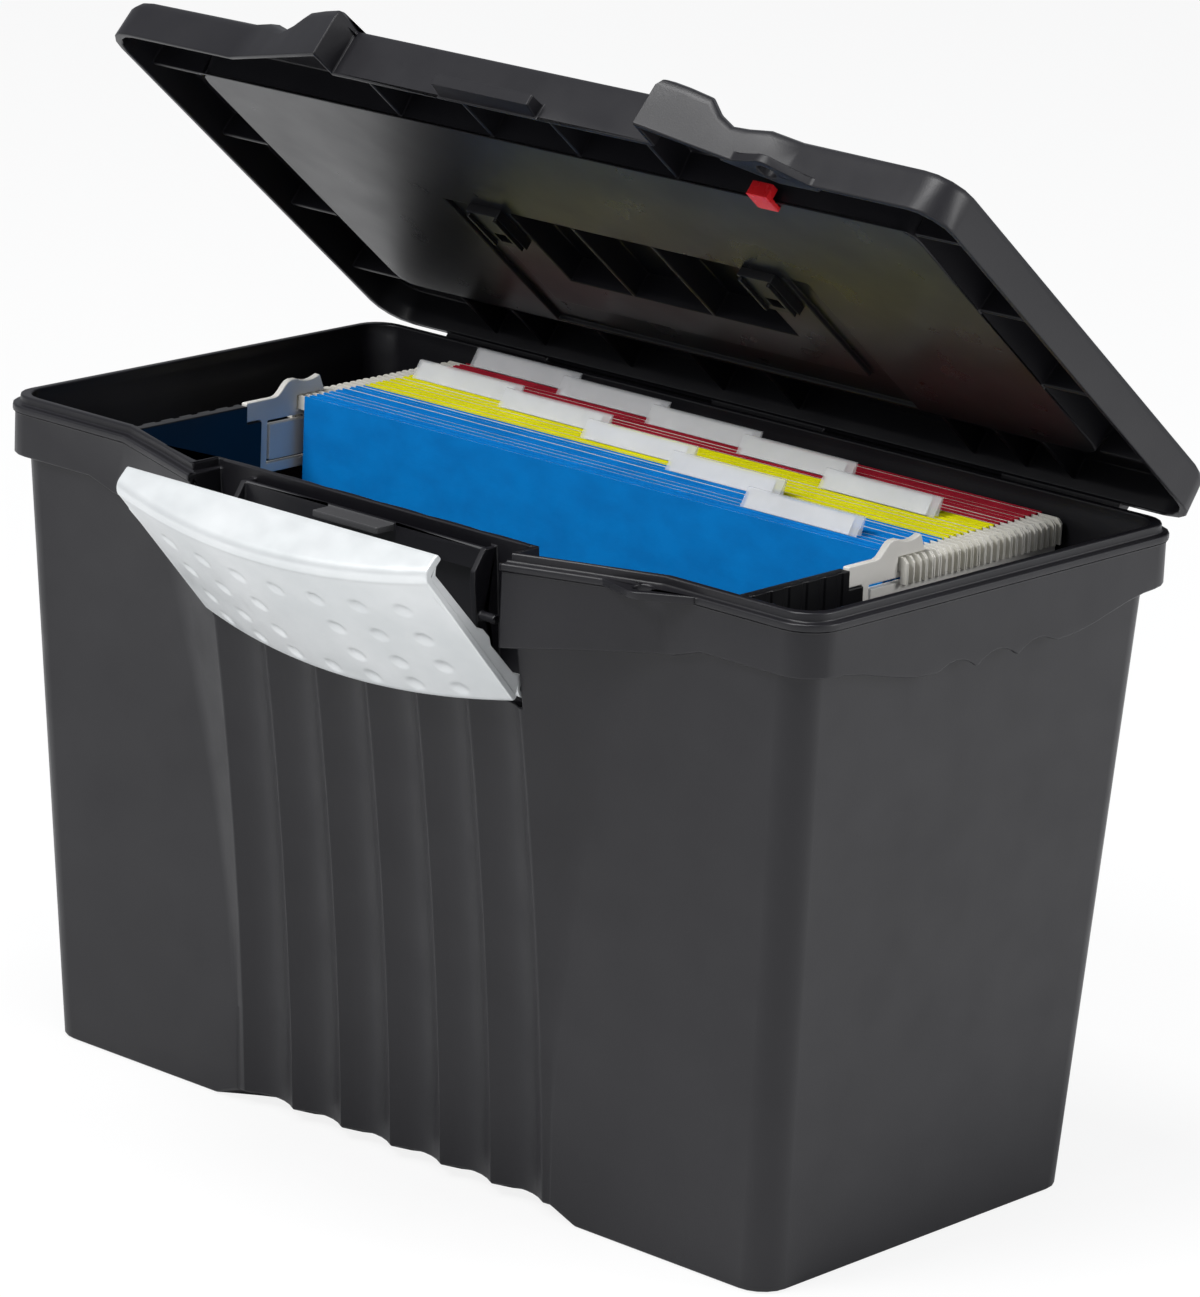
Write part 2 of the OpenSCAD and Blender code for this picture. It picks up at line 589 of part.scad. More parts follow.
module lid_knuckle_row() {
    for (seg = [[-hinge_half, -tub_knuckle_out], [-tub_knuckle_in, tub_knuckle_in],
                [tub_knuckle_out, hinge_half]]) {
        knuckles(seg[0], seg[1]);
        x_slab(seg[0] + gap / 2, seg[1] - gap / 2, [[hinge_y - knuckle_r + gap, hinge_z], [hinge_y, hinge_z],
            [hinge_y + 1, lid_z + 3], [lid_back - lid_t + 0.6, lid_z + 3],
            [lid_back - lid_t + 0.6, lid_z + 0.4],
            [hinge_y - knuckle_r + gap, lid_z + 0.4]]);
    }
}

// Caps of the lid over the tub's knuckles: a band of an arc about the hinge line
cap_t = 2.3;
cap_from = 50;
cap_to = 138;
cap_steps = 8;
function hinge_arc(r, a0, a1) = [for (i = [0:cap_steps]) let(a = a0 + (a1 - a0) * i / cap_steps)
    [hinge_y + r * cos(a), hinge_z + r * sin(a)]];
module lid_caps() for (s = [-1, 1])
    x_slab(s > 0 ? tub_knuckle_in - 1 : -tub_knuckle_out - 1,
        s > 0 ? tub_knuckle_out + 1 : -tub_knuckle_in + 1,
        concat(hinge_arc(knuckle_r + gap, cap_from, cap_to),
               hinge_arc(knuckle_r + gap + cap_t, cap_to, cap_from)));

ledge_half = 25;
ledge_out = 7.6;
module lid() color(charcoal) on_lid() difference() {
    union() {
        difference() {
            union() {
                lid_shell();
                block(-deck_x, deck_x, deck_y0, deck_y1, panel_z + 0.4, deck_top);
                for (s = [-1, 1])
                    block(s > 0 ? trough_in : -trough_out, s > 0 ? trough_out : -trough_in,
                          deck_y0, trough_back, panel_z + 0.4, trough_z);
                block(-trough_out, trough_out, trough_y1, trough_back, panel_z + 0.4, trough_z);
            }
            block(-deck_x + lid_t, deck_x - lid_t, deck_y0 + lid_t, deck_y1 - lid_t, 0, deck_top - lid_t);
            for (s = [-1, 1])
                block(s > 0 ? trough_in + lid_t : -trough_out + lid_t,
                      s > 0 ? trough_out - lid_t : -trough_in - lid_t,
                      deck_y0 + lid_t, panel_back - 2, 0, trough_z - lid_t);
            block(-trough_out + lid_t, trough_out - lid_t, trough_y1 + lid_t, panel_back - 2,
                  0, trough_z - lid_t);
        }
        handle_posts();
        for (x = [-26, 16])
            block(x - rib_t / 2, x + rib_t / 2, deck_y0 + 1, deck_y1 - 1, panel_z, deck_top - 1);
        lid_ribs();
        x_slab(-ledge_half, ledge_half, [[-lid_mid + 1, lid_z], [-lid_mid - ledge_out, lid_z + 1],
            [-lid_mid - ledge_out, lid_z + 5.6], [-lid_mid + 1, lid_z + 6]]);
        ear_plate(lid_z, lid_ear_t, gap);
        lid_caps();
        lid_knuckle_row();
    }
    hinge_bore();
    ear_hole(lid_z, lid_ear_t);
    x_rod(-trough_out - 1, trough_out + 1, 0, handle_z, handle_pin_r);
}

module hinge_pin(s) color(silver)
    x_rod(s > 0 ? 4 : -hinge_bore_half + 0.3, s > 0 ? hinge_bore_half - 0.3 : -4,
        hinge_y, hinge_z, hinge_pin_r);
module hinge_pin_left() hinge_pin(-1);
module hinge_pin_right() hinge_pin(1);

// Handle: two arms and a grip, folded flat towards the hinge
module carry_handle() color(charcoal) on_lid() difference() {
    union() {
        for (s = [-1, 1]) {
            translate([s * arm_x - arm_w / 2, 0, handle_z - handle_t / 2])
                cube([arm_w, handle_reach - 6, handle_t]);
            x_rod(s * arm_x - arm_w / 2, s * arm_x + arm_w / 2, 0, handle_z, handle_t / 2);
        }
        translate([0, 0, handle_z - handle_t / 2]) linear_extrude(handle_t) polygon(mirrored(concat(
            [[0.01, handle_reach - grip_w], [arm_x - 14, handle_reach - grip_w],
             [arm_x - arm_w / 2, handle_reach - grip_w - 6]],
            arc([arm_x + arm_w / 2 - 10, handle_reach - 10], 10, 0, 6))));
    }
    x_rod(-arm_x - arm_w, arm_x + arm_w, 0, handle_z, handle_pin_r + run);
}

module handle_pin(s) color(silver) on_lid()
    x_rod(s > 0 ? trough_in + 0.4 : -trough_out + 0.4, s > 0 ? trough_out - 0.4 : -trough_in - 0.4,
          0, handle_z, handle_pin_r);
module handle_pin_left() handle_pin(-1);
module handle_pin_right() handle_pin(1);

// Red clip held on the front edge of the sunken panel
module lid_marker() color(red) on_lid() {
    x0 = 110;
    x1 = 120;
    block(x0, x1, -panel_front - 6, -panel_front + 4, panel_z - 2, panel_z);
    block(x0, x1, -panel_front - 6, -panel_front - 2.2, panel_z, panel_z + 4);
}

// Folder: a sheet folded into a deep pocket, closed below. The back ones lean with the tub's back wall
folder_space = 0.3;
fold = 4;
pocket_t = folder_pitch - folder_space;
low_pitch = pitch_at(folder_low);
low_pocket = low_pitch - folder_space;
function folder_y(i) = folder_front + i * folder_pitch;
function folder_low_y(i) = folder_front + i * low_pitch;
module folder_group(first, count, c) color(c)
    for (i = [first:first + count - 1])
        x_slab(-folder_w / 2, folder_w / 2, let(y = folder_y(i), yl = folder_low_y(i))
        [[y, folder_top], [y + card_t, folder_top], [yl + card_t, folder_low + fold],
         [yl + low_pocket / 2, folder_low + card_t], [yl + low_pocket - card_t, folder_low + fold],
         [y + pocket_t - card_t, folder_top], [y + pocket_t, folder_top], [yl + low_pocket, folder_low + fold],
         [yl + low_pocket / 2 + card_t, folder_low], [yl + low_pocket / 2 - card_t, folder_low],
         [yl, folder_low + fold]]);
module blue_folders() folder_group(0, blue_count, blue);
module yellow_folders() folder_group(blue_count, yellow_count, yellow);
module red_folders() folder_group(blue_count + yellow_count, red_count, red);

// Rods: two in each folder's pocket, with an end hooked over each rail
rod_t = 0.7;
rod_space = 0.1;
rod_pitch = rod_t + 0.17;
rod_top = folder_top - 0.6;
rod_low = rail_z + 0.1;
rod_end_in = rail_x + rail_t / 2 + 0.4;
rod_end_out = rod_end_in + 3;
rod_end_z = rail_z - 4.5;
module rod_group(first, count) color(cream) for (i = [first:first + count - 1]) for (side = [0, 1])
    translate([0, folder_y(i) + card_t + rod_space + side * rod_pitch + rod_t, 0])
        rotate([90, 0, 0]) linear_extrude(rod_t)
            polygon([[-rod_end_out, rod_end_z], [-rod_end_in, rod_end_z], [-rod_end_in, rod_low], [rod_end_in, rod_low],
                     [rod_end_in, rod_end_z], [rod_end_out, rod_end_z], [rod_end_out, rod_top - 2],
                     [rod_end_out - 2, rod_top], [-rod_end_out + 2, rod_top], [-rod_end_out, rod_top - 2]]);
module blue_rods() rod_group(0, blue_count);
module yellow_rods() rod_group(blue_count, yellow_count);
module red_rods() rod_group(blue_count + yellow_count, red_count);

// Tabs: clear sleeves in five places across a folder, leaning back, with a label in each
tab_pitch = 55.5;
tab_start = 4.3 - folder_w / 2;
tab_t = 3.1;
tab_top = 1.1;
tab_skin = 0.4;
label_t = 0.25;
label_h = tab_h - 0.8;
front_set = [15, 13, 10, 7, 2];
back_set = [24, 22, 20, 18, 14];
function front_face(z) = tab_lean * z / tab_h;
function back_face(z) = tab_t + (tab_lean + tab_top - tab_t) * z / tab_h;
front_skin = tab_skin / cos(atan(tab_lean / tab_h));
module each_tab(set) for (k = [0:4])
    translate([tab_start + k * tab_pitch, folder_y(set[k]) + 0.2, folder_top + 0.05]) children();
module tab_sleeve() rotate([90, 0, 90]) linear_extrude(tab_w) difference() {
    polygon([[0, 0], [tab_t, 0], [back_face(tab_h), tab_h], [tab_lean, tab_h]]);
    polygon([[front_face(-1) + front_skin, -1], [back_face(-1) - front_skin, -1],
             [back_face(label_h + 0.2) - front_skin, label_h + 0.2],
             [front_face(label_h + 0.2) + front_skin, label_h + 0.2]]);
}
label_y = front_skin + 0.05;
module tab_label() translate([1.5, 0, 0]) rotate([90, 0, 90]) linear_extrude(tab_w - 6)
    polygon([[label_y, 0], [label_y + label_t, 0], [front_face(label_h) + label_y + label_t, label_h],
             [front_face(label_h) + label_y, label_h]]);
module front_tabs() color([0.85, 0.88, 0.9, 0.5]) each_tab(front_set) tab_sleeve();
module back_tabs() color([0.85, 0.88, 0.9, 0.5]) each_tab(back_set) tab_sleeve();
module front_tab_labels() color("white") each_tab(front_set) tab_label();
module back_tab_labels() color("white") each_tab(back_set) tab_label();

tub();
partition_left();
partition_right();
file_rail_left();
file_rail_right();
front_latch();
latch_pin_left();
latch_pin_right();
lid();
hinge_pin_left();
hinge_pin_right();
carry_handle();
handle_pin_left();
handle_pin_right();
lid_marker();
blue_folders();
yellow_folders();
red_folders();
blue_rods();
yellow_rods();
red_rods();
front_tabs();
back_tabs();
front_tab_labels();
back_tab_labels();
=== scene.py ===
import json
import math
import random

import bmesh
import bpy
from mathutils import Matrix, Vector

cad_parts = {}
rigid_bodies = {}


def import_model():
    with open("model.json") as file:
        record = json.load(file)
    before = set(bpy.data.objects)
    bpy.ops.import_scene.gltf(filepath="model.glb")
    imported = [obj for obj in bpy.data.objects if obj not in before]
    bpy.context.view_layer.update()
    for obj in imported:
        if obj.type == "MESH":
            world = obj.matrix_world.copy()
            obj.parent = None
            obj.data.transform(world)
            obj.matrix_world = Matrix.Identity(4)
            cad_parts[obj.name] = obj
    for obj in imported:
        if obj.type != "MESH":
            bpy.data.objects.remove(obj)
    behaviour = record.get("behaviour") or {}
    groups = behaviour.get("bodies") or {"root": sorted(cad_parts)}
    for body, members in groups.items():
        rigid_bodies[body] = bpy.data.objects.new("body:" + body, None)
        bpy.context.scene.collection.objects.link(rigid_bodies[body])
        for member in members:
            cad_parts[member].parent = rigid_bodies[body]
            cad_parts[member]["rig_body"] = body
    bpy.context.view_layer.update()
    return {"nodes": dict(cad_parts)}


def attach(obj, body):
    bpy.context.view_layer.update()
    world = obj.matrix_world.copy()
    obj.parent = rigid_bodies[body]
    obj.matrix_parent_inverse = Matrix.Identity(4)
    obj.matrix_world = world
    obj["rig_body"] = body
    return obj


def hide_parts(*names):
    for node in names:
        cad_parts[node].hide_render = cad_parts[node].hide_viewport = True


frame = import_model()

MM = 0.001
rng = random.Random(7)

# Sizes from the part's source, in millimetres
HINGE_Y, HINGE_Z, LID_OPEN = 114.0, 258.5, 40.0
PIVOT_Y, PIVOT_Z, LATCH_LEAN = -112.648, 213.0, 44.4
LATCH_HALF, LATCH_H, LATCH_BOW, LATCH_OUT, LATCH_IN = 81.0, 74.2, 10.6, 7.4, 3.0
SKIN_T, BAND_TOP, BAND_BACK, BAND_T = 2.5, 77.1, 6.1, 3.3
LUG_R, PIN_BORE = 4.0, 2.08
PANEL_Z, PANEL_HALF, PANEL_FRONT, PANEL_BACK = 267.5, 184.0, 82.0, 77.0
LID_MID, RIDGE_TOP = 115.8, 263.2

on_lid = (Matrix.Translation((0, HINGE_Y, HINGE_Z)) @ Matrix.Rotation(math.radians(-LID_OPEN), 4, "X")
          @ Matrix.Translation((0, -HINGE_Y, -HINGE_Z)))
off_lid = on_lid.inverted()
in_latch = Matrix.Translation((0, PIVOT_Y, PIVOT_Z)) @ Matrix.Rotation(math.radians(LATCH_LEAN), 4, "X")


# Materials

class Paint:
    """Principled shader with tone, roughness and bump driven by noise in the object's own space."""

    def __init__(self, name, **sockets):
        self.mat = bpy.data.materials.new(name)
        self.mat.use_nodes = True
        self.nodes = self.mat.node_tree.nodes
        self.links = self.mat.node_tree.links
        self.shader = self.nodes["Principled BSDF"]
        self.coord = self.nodes.new("ShaderNodeTexCoord").outputs["Object"]
        for key, value in sockets.items():
            self.shader.inputs[key.replace("_", " ")].default_value = value

    def noise(self, scale, detail=3.0, stretch=(1, 1, 1)):
        mapping = self.nodes.new("ShaderNodeMapping")
        mapping.inputs["Scale"].default_value = stretch
        self.links.new(self.coord, mapping.inputs["Vector"])
        node = self.nodes.new("ShaderNodeTexNoise")
        node.inputs["Scale"].default_value = scale
        node.inputs["Detail"].default_value = detail
        self.links.new(mapping.outputs["Vector"], node.inputs["Vector"])
        return node.outputs["Fac"]

    def tone(self, source, dark, light, low=0.35, high=0.65):
        ramp = self.nodes.new("ShaderNodeValToRGB")
        for element, place, colour in zip(ramp.color_ramp.elements, (low, high), (dark, light)):
            element.position = place
            element.color = (*colour, 1)
        self.links.new(source, ramp.inputs["Fac"])
        self.links.new(ramp.outputs["Color"], self.shader.inputs["Base Color"])
        return self

    def rough(self, source, low, high):
        span = self.nodes.new("ShaderNodeMapRange")
        for key, value in (("From Min", 0.3), ("From Max", 0.7), ("To Min", low), ("To Max", high)):
            span.inputs[key].default_value = value
        self.links.new(source, span.inputs["Value"])
        self.links.new(span.outputs["Result"], self.shader.inputs["Roughness"])
        return self

    def bump(self, *layers):
        normal = None
        for source, strength, depth in layers:
            node = self.nodes.new("ShaderNodeBump")
            node.inputs["Strength"].default_value = strength
            node.inputs["Distance"].default_value = depth * MM
            self.links.new(source, node.inputs["Height"])
            if normal:
                self.links.new(normal, node.inputs["Normal"])
            normal = node.outputs["Normal"]
        self.links.new(normal, self.shader.inputs["Normal"])
        return self


def textured_black(name, dark, light, rough, depth, shine=0.36):
    p = Paint(name, Specular_IOR_Level=shine)
    p.tone(p.noise(9, 4), dark, light).rough(p.noise(40, 5), *rough)
    return p.bump((p.noise(1500, 2), 0.35, depth), (p.noise(22, 2), 0.06, 0.4)).mat


def card(name, dark, light):
    p = Paint(name, Specular_IOR_Level=0.15)
    p.tone(p.noise(55, 6, (1, 1, 1.6)), dark, light).rough(p.noise(220, 3), 0.62, 0.8)
    return p.bump((p.noise(700, 5, (1, 1, 2.2)), 0.4, 0.12), (p.noise(14, 2), 0.2, 0.8)).mat


black = textured_black("charcoal_textured", (0.0055, 0.0052, 0.0072), (0.0085, 0.0082, 0.0105), (0.36, 0.46), 0.10)
black_inner = textured_black("charcoal_inner", (0.004, 0.004, 0.005), (0.006, 0.006, 0.0072), (0.34, 0.44), 0.05)
black_gloss = textured_black("charcoal_polished", (0.004, 0.004, 0.005), (0.006, 0.006, 0.0072), (0.26, 0.34), 0.004, 0.28)
grey_tab = textured_black("grey_tab", (0.05, 0.05, 0.052), (0.065, 0.065, 0.068), (0.35, 0.45), 0.04)

p = Paint("satin_silver", Metallic=0.45)
p.tone(p.noise(30, 4), (0.64, 0.665, 0.67), (0.72, 0.74, 0.745)).rough(p.noise(90, 4), 0.32, 0.42)
silver = p.bump((p.noise(2200, 2), 0.25, 0.03), (p.noise(35, 2), 0.1, 0.3)).mat

p = Paint("white_rail")
p.tone(p.noise(25, 4), (0.73, 0.71, 0.665), (0.80, 0.785, 0.74)).rough(p.noise(60, 3), 0.38, 0.5)
white_rail = p.bump((p.noise(900, 2), 0.2, 0.05)).mat

p = Paint("rod_cream")
p.tone(p.noise(60, 4), (0.70, 0.68, 0.60), (0.82, 0.80, 0.74)).rough(p.noise(90, 3), 0.42, 0.56)
rod_cream = p.bump((p.noise(500, 3), 0.25, 0.08)).mat

p = Paint("pin_steel", Metallic=1.0)
p.tone(p.noise(900, 3, (0.04, 1, 1)), (0.45, 0.45, 0.46), (0.66, 0.66, 0.67)).rough(p.noise(700, 2, (0.05, 1, 1)), 0.22, 0.38)
steel = p.bump((p.noise(1500, 2, (0.04, 1, 1)), 0.2, 0.03)).mat

p = Paint("clip_red")
p.tone(p.noise(80, 3), (0.62, 0.012, 0.018), (0.80, 0.02, 0.025)).rough(p.noise(120, 3), 0.2, 0.3)
clip_red = p.bump((p.noise(800, 2), 0.15, 0.03)).mat

p = Paint("insert_white")
p.tone(p.noise(300, 5), (0.84, 0.84, 0.835), (0.91, 0.91, 0.905)).rough(p.noise(300, 3), 0.6, 0.75)
paper = p.bump((p.noise(1200, 4), 0.25, 0.04)).mat

p = Paint("sleeve_clear", Alpha=0.3)
p.tone(p.noise(50, 3), (0.86, 0.88, 0.90), (0.93, 0.95, 0.97)).rough(p.noise(150, 3), 0.05, 0.12)
clear = p.bump((p.noise(60, 2), 0.1, 0.15)).mat

blue_card = card("card_blue", (0.0, 0.215, 0.66), (0.0, 0.255, 0.76))
yellow_card = card("card_yellow", (0.82, 0.79, 0.0), (0.90, 0.87, 0.004))
red_card = card("card_red", (0.37, 0.010, 0.028), (0.46, 0.016, 0.037))


# Meshes

def smooth(mesh, angle=34):
    mesh.polygons.foreach_set("use_smooth", [True] * len(mesh.polygons))
    mesh.set_sharp_from_angle(angle=math.radians(angle))


def show(name, mesh, body, materials, replaces=()):
    for material in materials:
        mesh.materials.append(material)
    obj = bpy.data.objects.new(name, mesh)
    bpy.context.scene.collection.objects.link(obj)
    weighted = obj.modifiers.new("normals", "WEIGHTED_NORMAL")
    weighted.keep_sharp = True
    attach(obj, body)
    if replaces:
        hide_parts(*replaces)
    return obj


def soften(bm, width, segments, angle):
    """Rounds every edge sharper than angle."""
    sharp = [e for e in bm.edges if len(e.link_faces) == 2 and e.calc_face_angle(0) > math.radians(angle)]
    bmesh.ops.bevel(bm, geom=sharp, offset=width * MM, offset_type="OFFSET", segments=segments, profile=0.5,
                    affect="EDGES", clamp_overlap=False, loop_slide=True)


def islands(bm):
    """Groups of vertices that hang together."""
    left = set(bm.verts)
    while left:
        group, queue = [], [left.pop()]
        while queue:
            v = queue.pop()
            group.append(v)
            for e in v.link_edges:
                other = e.other_vert(v)
                if other in left:
                    left.remove(other)
                    queue.append(other)
        yield group


def dress(node, materials, width=0.5, segments=2, angle=32, pick=None, jitter=None):
    """A rounded copy of a CAD node in its place. pick gives a face's material, jitter moves loose sheets."""
    source = frame["nodes"][node]
    mesh = source.data.copy()
    mesh.name = node + "_rounded"
    mesh.materials.clear()
    bm = bmesh.new()
    bm.from_mesh(mesh)
    bmesh.ops.remove_doubles(bm, verts=bm.verts, dist=0.004 * MM)
    if width:
        soften(bm, width, segments, angle)
    if jitter:
        for group in sorted(islands(bm), key=lambda g: min(v.co.y for v in g)):
            jitter(group)
    bm.normal_update()
    for face in bm.faces:
        face.material_index = pick(face.calc_center_median() / MM, face.normal) if pick else 0
    bm.to_mesh(mesh)
    bm.free()
    smooth(mesh)
    return show(node + "_shown", mesh, source["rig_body"], materials, [node])


class Build:
    """Collects simple solids in millimetres, then makes one mesh of them."""

    def __init__(self, matrix=Matrix.Identity(4)):
        self.matrix = matrix
        self.bm = bmesh.new()

    def ring_solid(self, rings, closed_ends=True):
        rows = [[self.bm.verts.new(Vector(p)) for p in ring] for ring in rings]
        n = len(rows[0])
        for a, b in zip(rows, rows[1:]):
            for i in range(n):
                self.bm.faces.new((a[i], a[(i + 1) % n], b[(i + 1) % n], b[i]))
        if closed_ends:
            self.bm.faces.new(rows[0][::-1])
            self.bm.faces.new(rows[-1])
        return self

    def slab(self, x0, x1, outline):
        return self.ring_solid([[(x, y, z) for y, z in outline] for x in (x0, x1)])

    def block(self, x0, x1, y0, y1, z0, z1):
        return self.slab(x0, x1, [(y0, z0), (y1, z0), (y1, z1), (y0, z1)])

    def rod(self, x0, x1, y, z, r, n=40):
        ring = [(y + r * math.cos(2 * math.pi * i / n), z + r * math.sin(2 * math.pi * i / n)) for i in range(n)]
        return self.slab(x0, x1, ring)

    def tube(self, x0, x1, y, z, r, bore, n=40):
        """A lug: a short cylinder with a hole along X."""
        loops = []
        for x, radius in ((x0, bore), (x0, r), (x1, r), (x1, bore)):
            loops.append([self.bm.verts.new((x, y + radius * math.cos(2 * math.pi * i / n),
                                             z + radius * math.sin(2 * math.pi * i / n))) for i in range(n)])
        for a, b in zip(loops, loops[1:] + loops[:1]):
            for i in range(n):
                self.bm.faces.new((a[i], a[(i + 1) % n], b[(i + 1) % n], b[i]))
        return self

    def frame_plate(self, x0, x1, y0, y1, hole, z0, z1):
        """A flat plate with a square hole."""
        hx0, hx1, hy0, hy1 = hole
        outer = [(x0, y0), (x1, y0), (x1, y1), (x0, y1)]
        inner = [(hx0, hy0), (hx1, hy0), (hx1, hy1), (hx0, hy1)]
        loops = []
        for corners, z in ((inner, z0), (outer, z0), (outer, z1), (inner, z1)):
            loops.append([self.bm.verts.new((x, y, z)) for x, y in corners])
        for a, b in zip(loops, loops[1:] + loops[:1]):
            for i in range(4):
                self.bm.faces.new((a[i], a[(i + 1) % 4], b[(i + 1) % 4], b[i]))
        return self

    def mesh(self, name, width=0.4, segments=2, angle=32, sharp=34):
        bm = self.bm
        bmesh.ops.recalc_face_normals(bm, faces=bm.faces)
        bm.transform(Matrix.Scale(MM, 4) @ self.matrix)
        if width:
            soften(bm, width, segments, angle)
        mesh = bpy.data.meshes.new(name)
        bm.to_mesh(mesh)
        bm.free()
        smooth(mesh, sharp)
        return mesh


# Tub, partitions and rails

def tub_face(c, normal):
    if abs(c.x) < 17.2 and -LID_MID - 12.5 < c.y < -LID_MID - 2 and RIDGE_TOP - 3.2 < c.z < RIDGE_TOP:
        return 1
    return 0


dress("tub", [black, grey_tab], width=0.8, segments=3, pick=tub_face)
for side in ("left", "right"):
    dress("partition_" + side, [black_inner], width=0.5)
    dress("file_rail_" + side, [white_rail], width=0.55, segments=3)
    dress("latch_pin_" + side, [black], width=0.3)
    dress("hinge_pin_" + side, [steel], width=0.3)
    dress("handle_pin_" + side, [steel], width=0.3)


# Lid

def lid_face(c, normal):
    q = off_lid @ c
    up = (off_lid.to_3x3() @ normal).z
    inside = abs(q.x) < PANEL_HALF - 1 and -PANEL_FRONT + 1 < q.y < PANEL_BACK - 1
    if inside and up < -0.5:
        return 1
    return 0


dress("lid", [black, black_gloss], width=0.7, segments=3, pick=lid_face)
dress("carry_handle", [black], width=1.4, segments=4)
dress("lid_marker", [clip_red], width=0.4)

fittings = Build(on_lid)
for s in (-1, 1):
    a, b = sorted((s * 62.5, s * 79.5))
    fittings.frame_plate(a, b, -18, 6, (s * 71 - 3, s * 71 + 3, -3, 3), PANEL_Z - 3.6, PANEL_Z + 0.4)
    for x in (a + 0.8, b - 2.2):
        fittings.block(x, x + 1.4, -17, 5, PANEL_Z - 5.2, PANEL_Z - 3)
fittings.slab(-182.5, 182.5, [(-81.6, PANEL_Z + 0.3), (-82.6, PANEL_Z + 0.3), (-82.6, PANEL_Z - 0.5),
                              (-81.6, PANEL_Z - 0.5)])
show("lid_fittings", fittings.mesh("lid_fittings", 0.3), "lid_body", [black_inner])


# Latch: bowed skin with a rolled top band and rows of shallow dents

DENT_R, DENT_DEEP, DENT_PITCH = 4.3, 0.75, 20.4
DENT_ROWS = (8.2, 21.6, 38.3, 55.8)


def bow(x):
    return LATCH_BOW * (1 - (x / LATCH_HALF) ** 2)


def dent(x, u):
    deep = 0.0
    for row in DENT_ROWS:
        for k in range(-3, 4):
            if k == 0 and 15 < row < 45:
                continue
            d = ((x - k * DENT_PITCH) ** 2 + (u - row) ** 2) / DENT_R ** 2
            if d < 1:
                deep += DENT_DEEP * (1 - d) ** 2 * (1 + d)
    return deep


def latch_section(x):
    """Closed outline in (v, u): v outward, u up from the pivot."""
    b = bow(x)

    def face(u):
        return LATCH_OUT - LATCH_IN * u / LATCH_H + b

    points = [(face(1) - SKIN_T, 1.0), (face(1) - 1.2, 1.0), (face(1) - 0.4, 1.3), (face(2) - 0.05, 2.1)]
    steps = 82
    roll = 5.0
    centre_v, centre_u = 4.6 + b - roll, BAND_TOP - roll
    for i in range(steps + 1):
        u = 3 + (centre_u - 3) * i / steps
        points.append((face(u) - dent(x, u), u))
    for i in range(1, 11):
        a = math.pi / 2 * i / 10
        points.append((centre_v + roll * math.cos(a) + 0.115 * (1 - i / 10), centre_u + roll * math.sin(a)))
    back = -BAND_BACK
    for i in range(1, 9):
        t = i / 8
        points.append((centre_v + (back + 1 - centre_v) * t, BAND_TOP))
    points += [(back + 0.3, BAND_TOP - 0.3), (back, BAND_TOP - 1.0), (back, BAND_TOP - BAND_T + 0.6),
               (back + 0.5, BAND_TOP - BAND_T), (face(70) - SKIN_T - 3, BAND_TOP - BAND_T),
               (face(70) - SKIN_T - 0.9, BAND_TOP - BAND_T - 0.5), (face(70) - SKIN_T, BAND_TOP - BAND_T - 2.6)]
    for u in (60, 45, 30, 15):
        points.append((face(u) - SKIN_T, u))
    return points


STATIONS = 190
skin = Build(in_latch)
skin.ring_solid([[(x, -v, u) for v, u in latch_section(x)]
                 for x in (LATCH_HALF * (2 * i / STATIONS - 1) for i in range(STATIONS + 1))])
show("latch_skin", skin.mesh("latch_skin", 0.5, 3, 55, 42), "latch", [silver], ["front_latch"])

arms = Build(in_latch)
side_plate = [(-LATCH_OUT + 1.6, 1), (-LATCH_OUT + 2, LATCH_H - 10), (-LATCH_OUT + 4, LATCH_H - 3),
              (BAND_BACK - 0.5, LATCH_H + 1.6), (0.4, LATCH_H - 3), (0.2, 38), (1.8, 35), (1.8, 30), (0.2, 27),
              (0.2, 9), (LUG_R - 0.4, 1.9), (1.2, LUG_R - 0.6), (-2.4, LUG_R - 1.2)]
for s in (-1, 1):
    a, b = sorted((s * (LATCH_HALF - 5.5), s * (LATCH_HALF - 0.5)))
    arms.slab(a, b, side_plate)
    arms.tube(a, b, 0, 0, LUG_R, PIN_BORE)
    a, b = sorted((s * 8, s * 20))
    root = LATCH_OUT + 5
    arms.slab(a, b, [(-root, 59.5), (3, 59.5), (3, 61.5), (0, 62.9), (-root, 63.1)])
show("latch_arms", arms.mesh("latch_arms", 0.5, 3), "latch", [silver])


# Folders, rods and tabs

def sheet_jitter(group):
    shift = rng.uniform(-0.5, 0.5) * MM
    drop = rng.uniform(0.0, 0.35) * MM
    for v in group:
        v.co.x += shift
        v.co.z -= drop * max(0.0, (v.co.z - 0.02) / 0.24)


def rod_jitter(group):
    shift = rng.uniform(-0.3, 0.3) * MM
    for v in group:
        v.co.x += shift


for colour, mat in (("blue", blue_card), ("yellow", yellow_card), ("red", red_card)):
    dress(colour + "_folders", [mat], width=0.16, segments=2, jitter=sheet_jitter)
    dress(colour + "_rods", [rod_cream], width=0.16, segments=2, jitter=rod_jitter)
for row in ("front", "back"):
    dress(row + "_tabs", [clear], width=0.12, segments=2)
    dress(row + "_tab_labels", [paper], width=0.05, segments=1)


# Floor, light and camera

def area_light(name, place, aim, size, power, colour=(1, 1, 1)):
    data = bpy.data.lights.new(name, "AREA")
    data.shape = "RECTANGLE"
    data.size, data.size_y = size
    data.energy = power
    data.color = colour
    obj = bpy.data.objects.new(name, data)
    obj.location = place
    obj.rotation_euler = (Vector(aim) - Vector(place)).to_track_quat("-Z", "Y").to_euler()
    bpy.context.scene.collection.objects.link(obj)


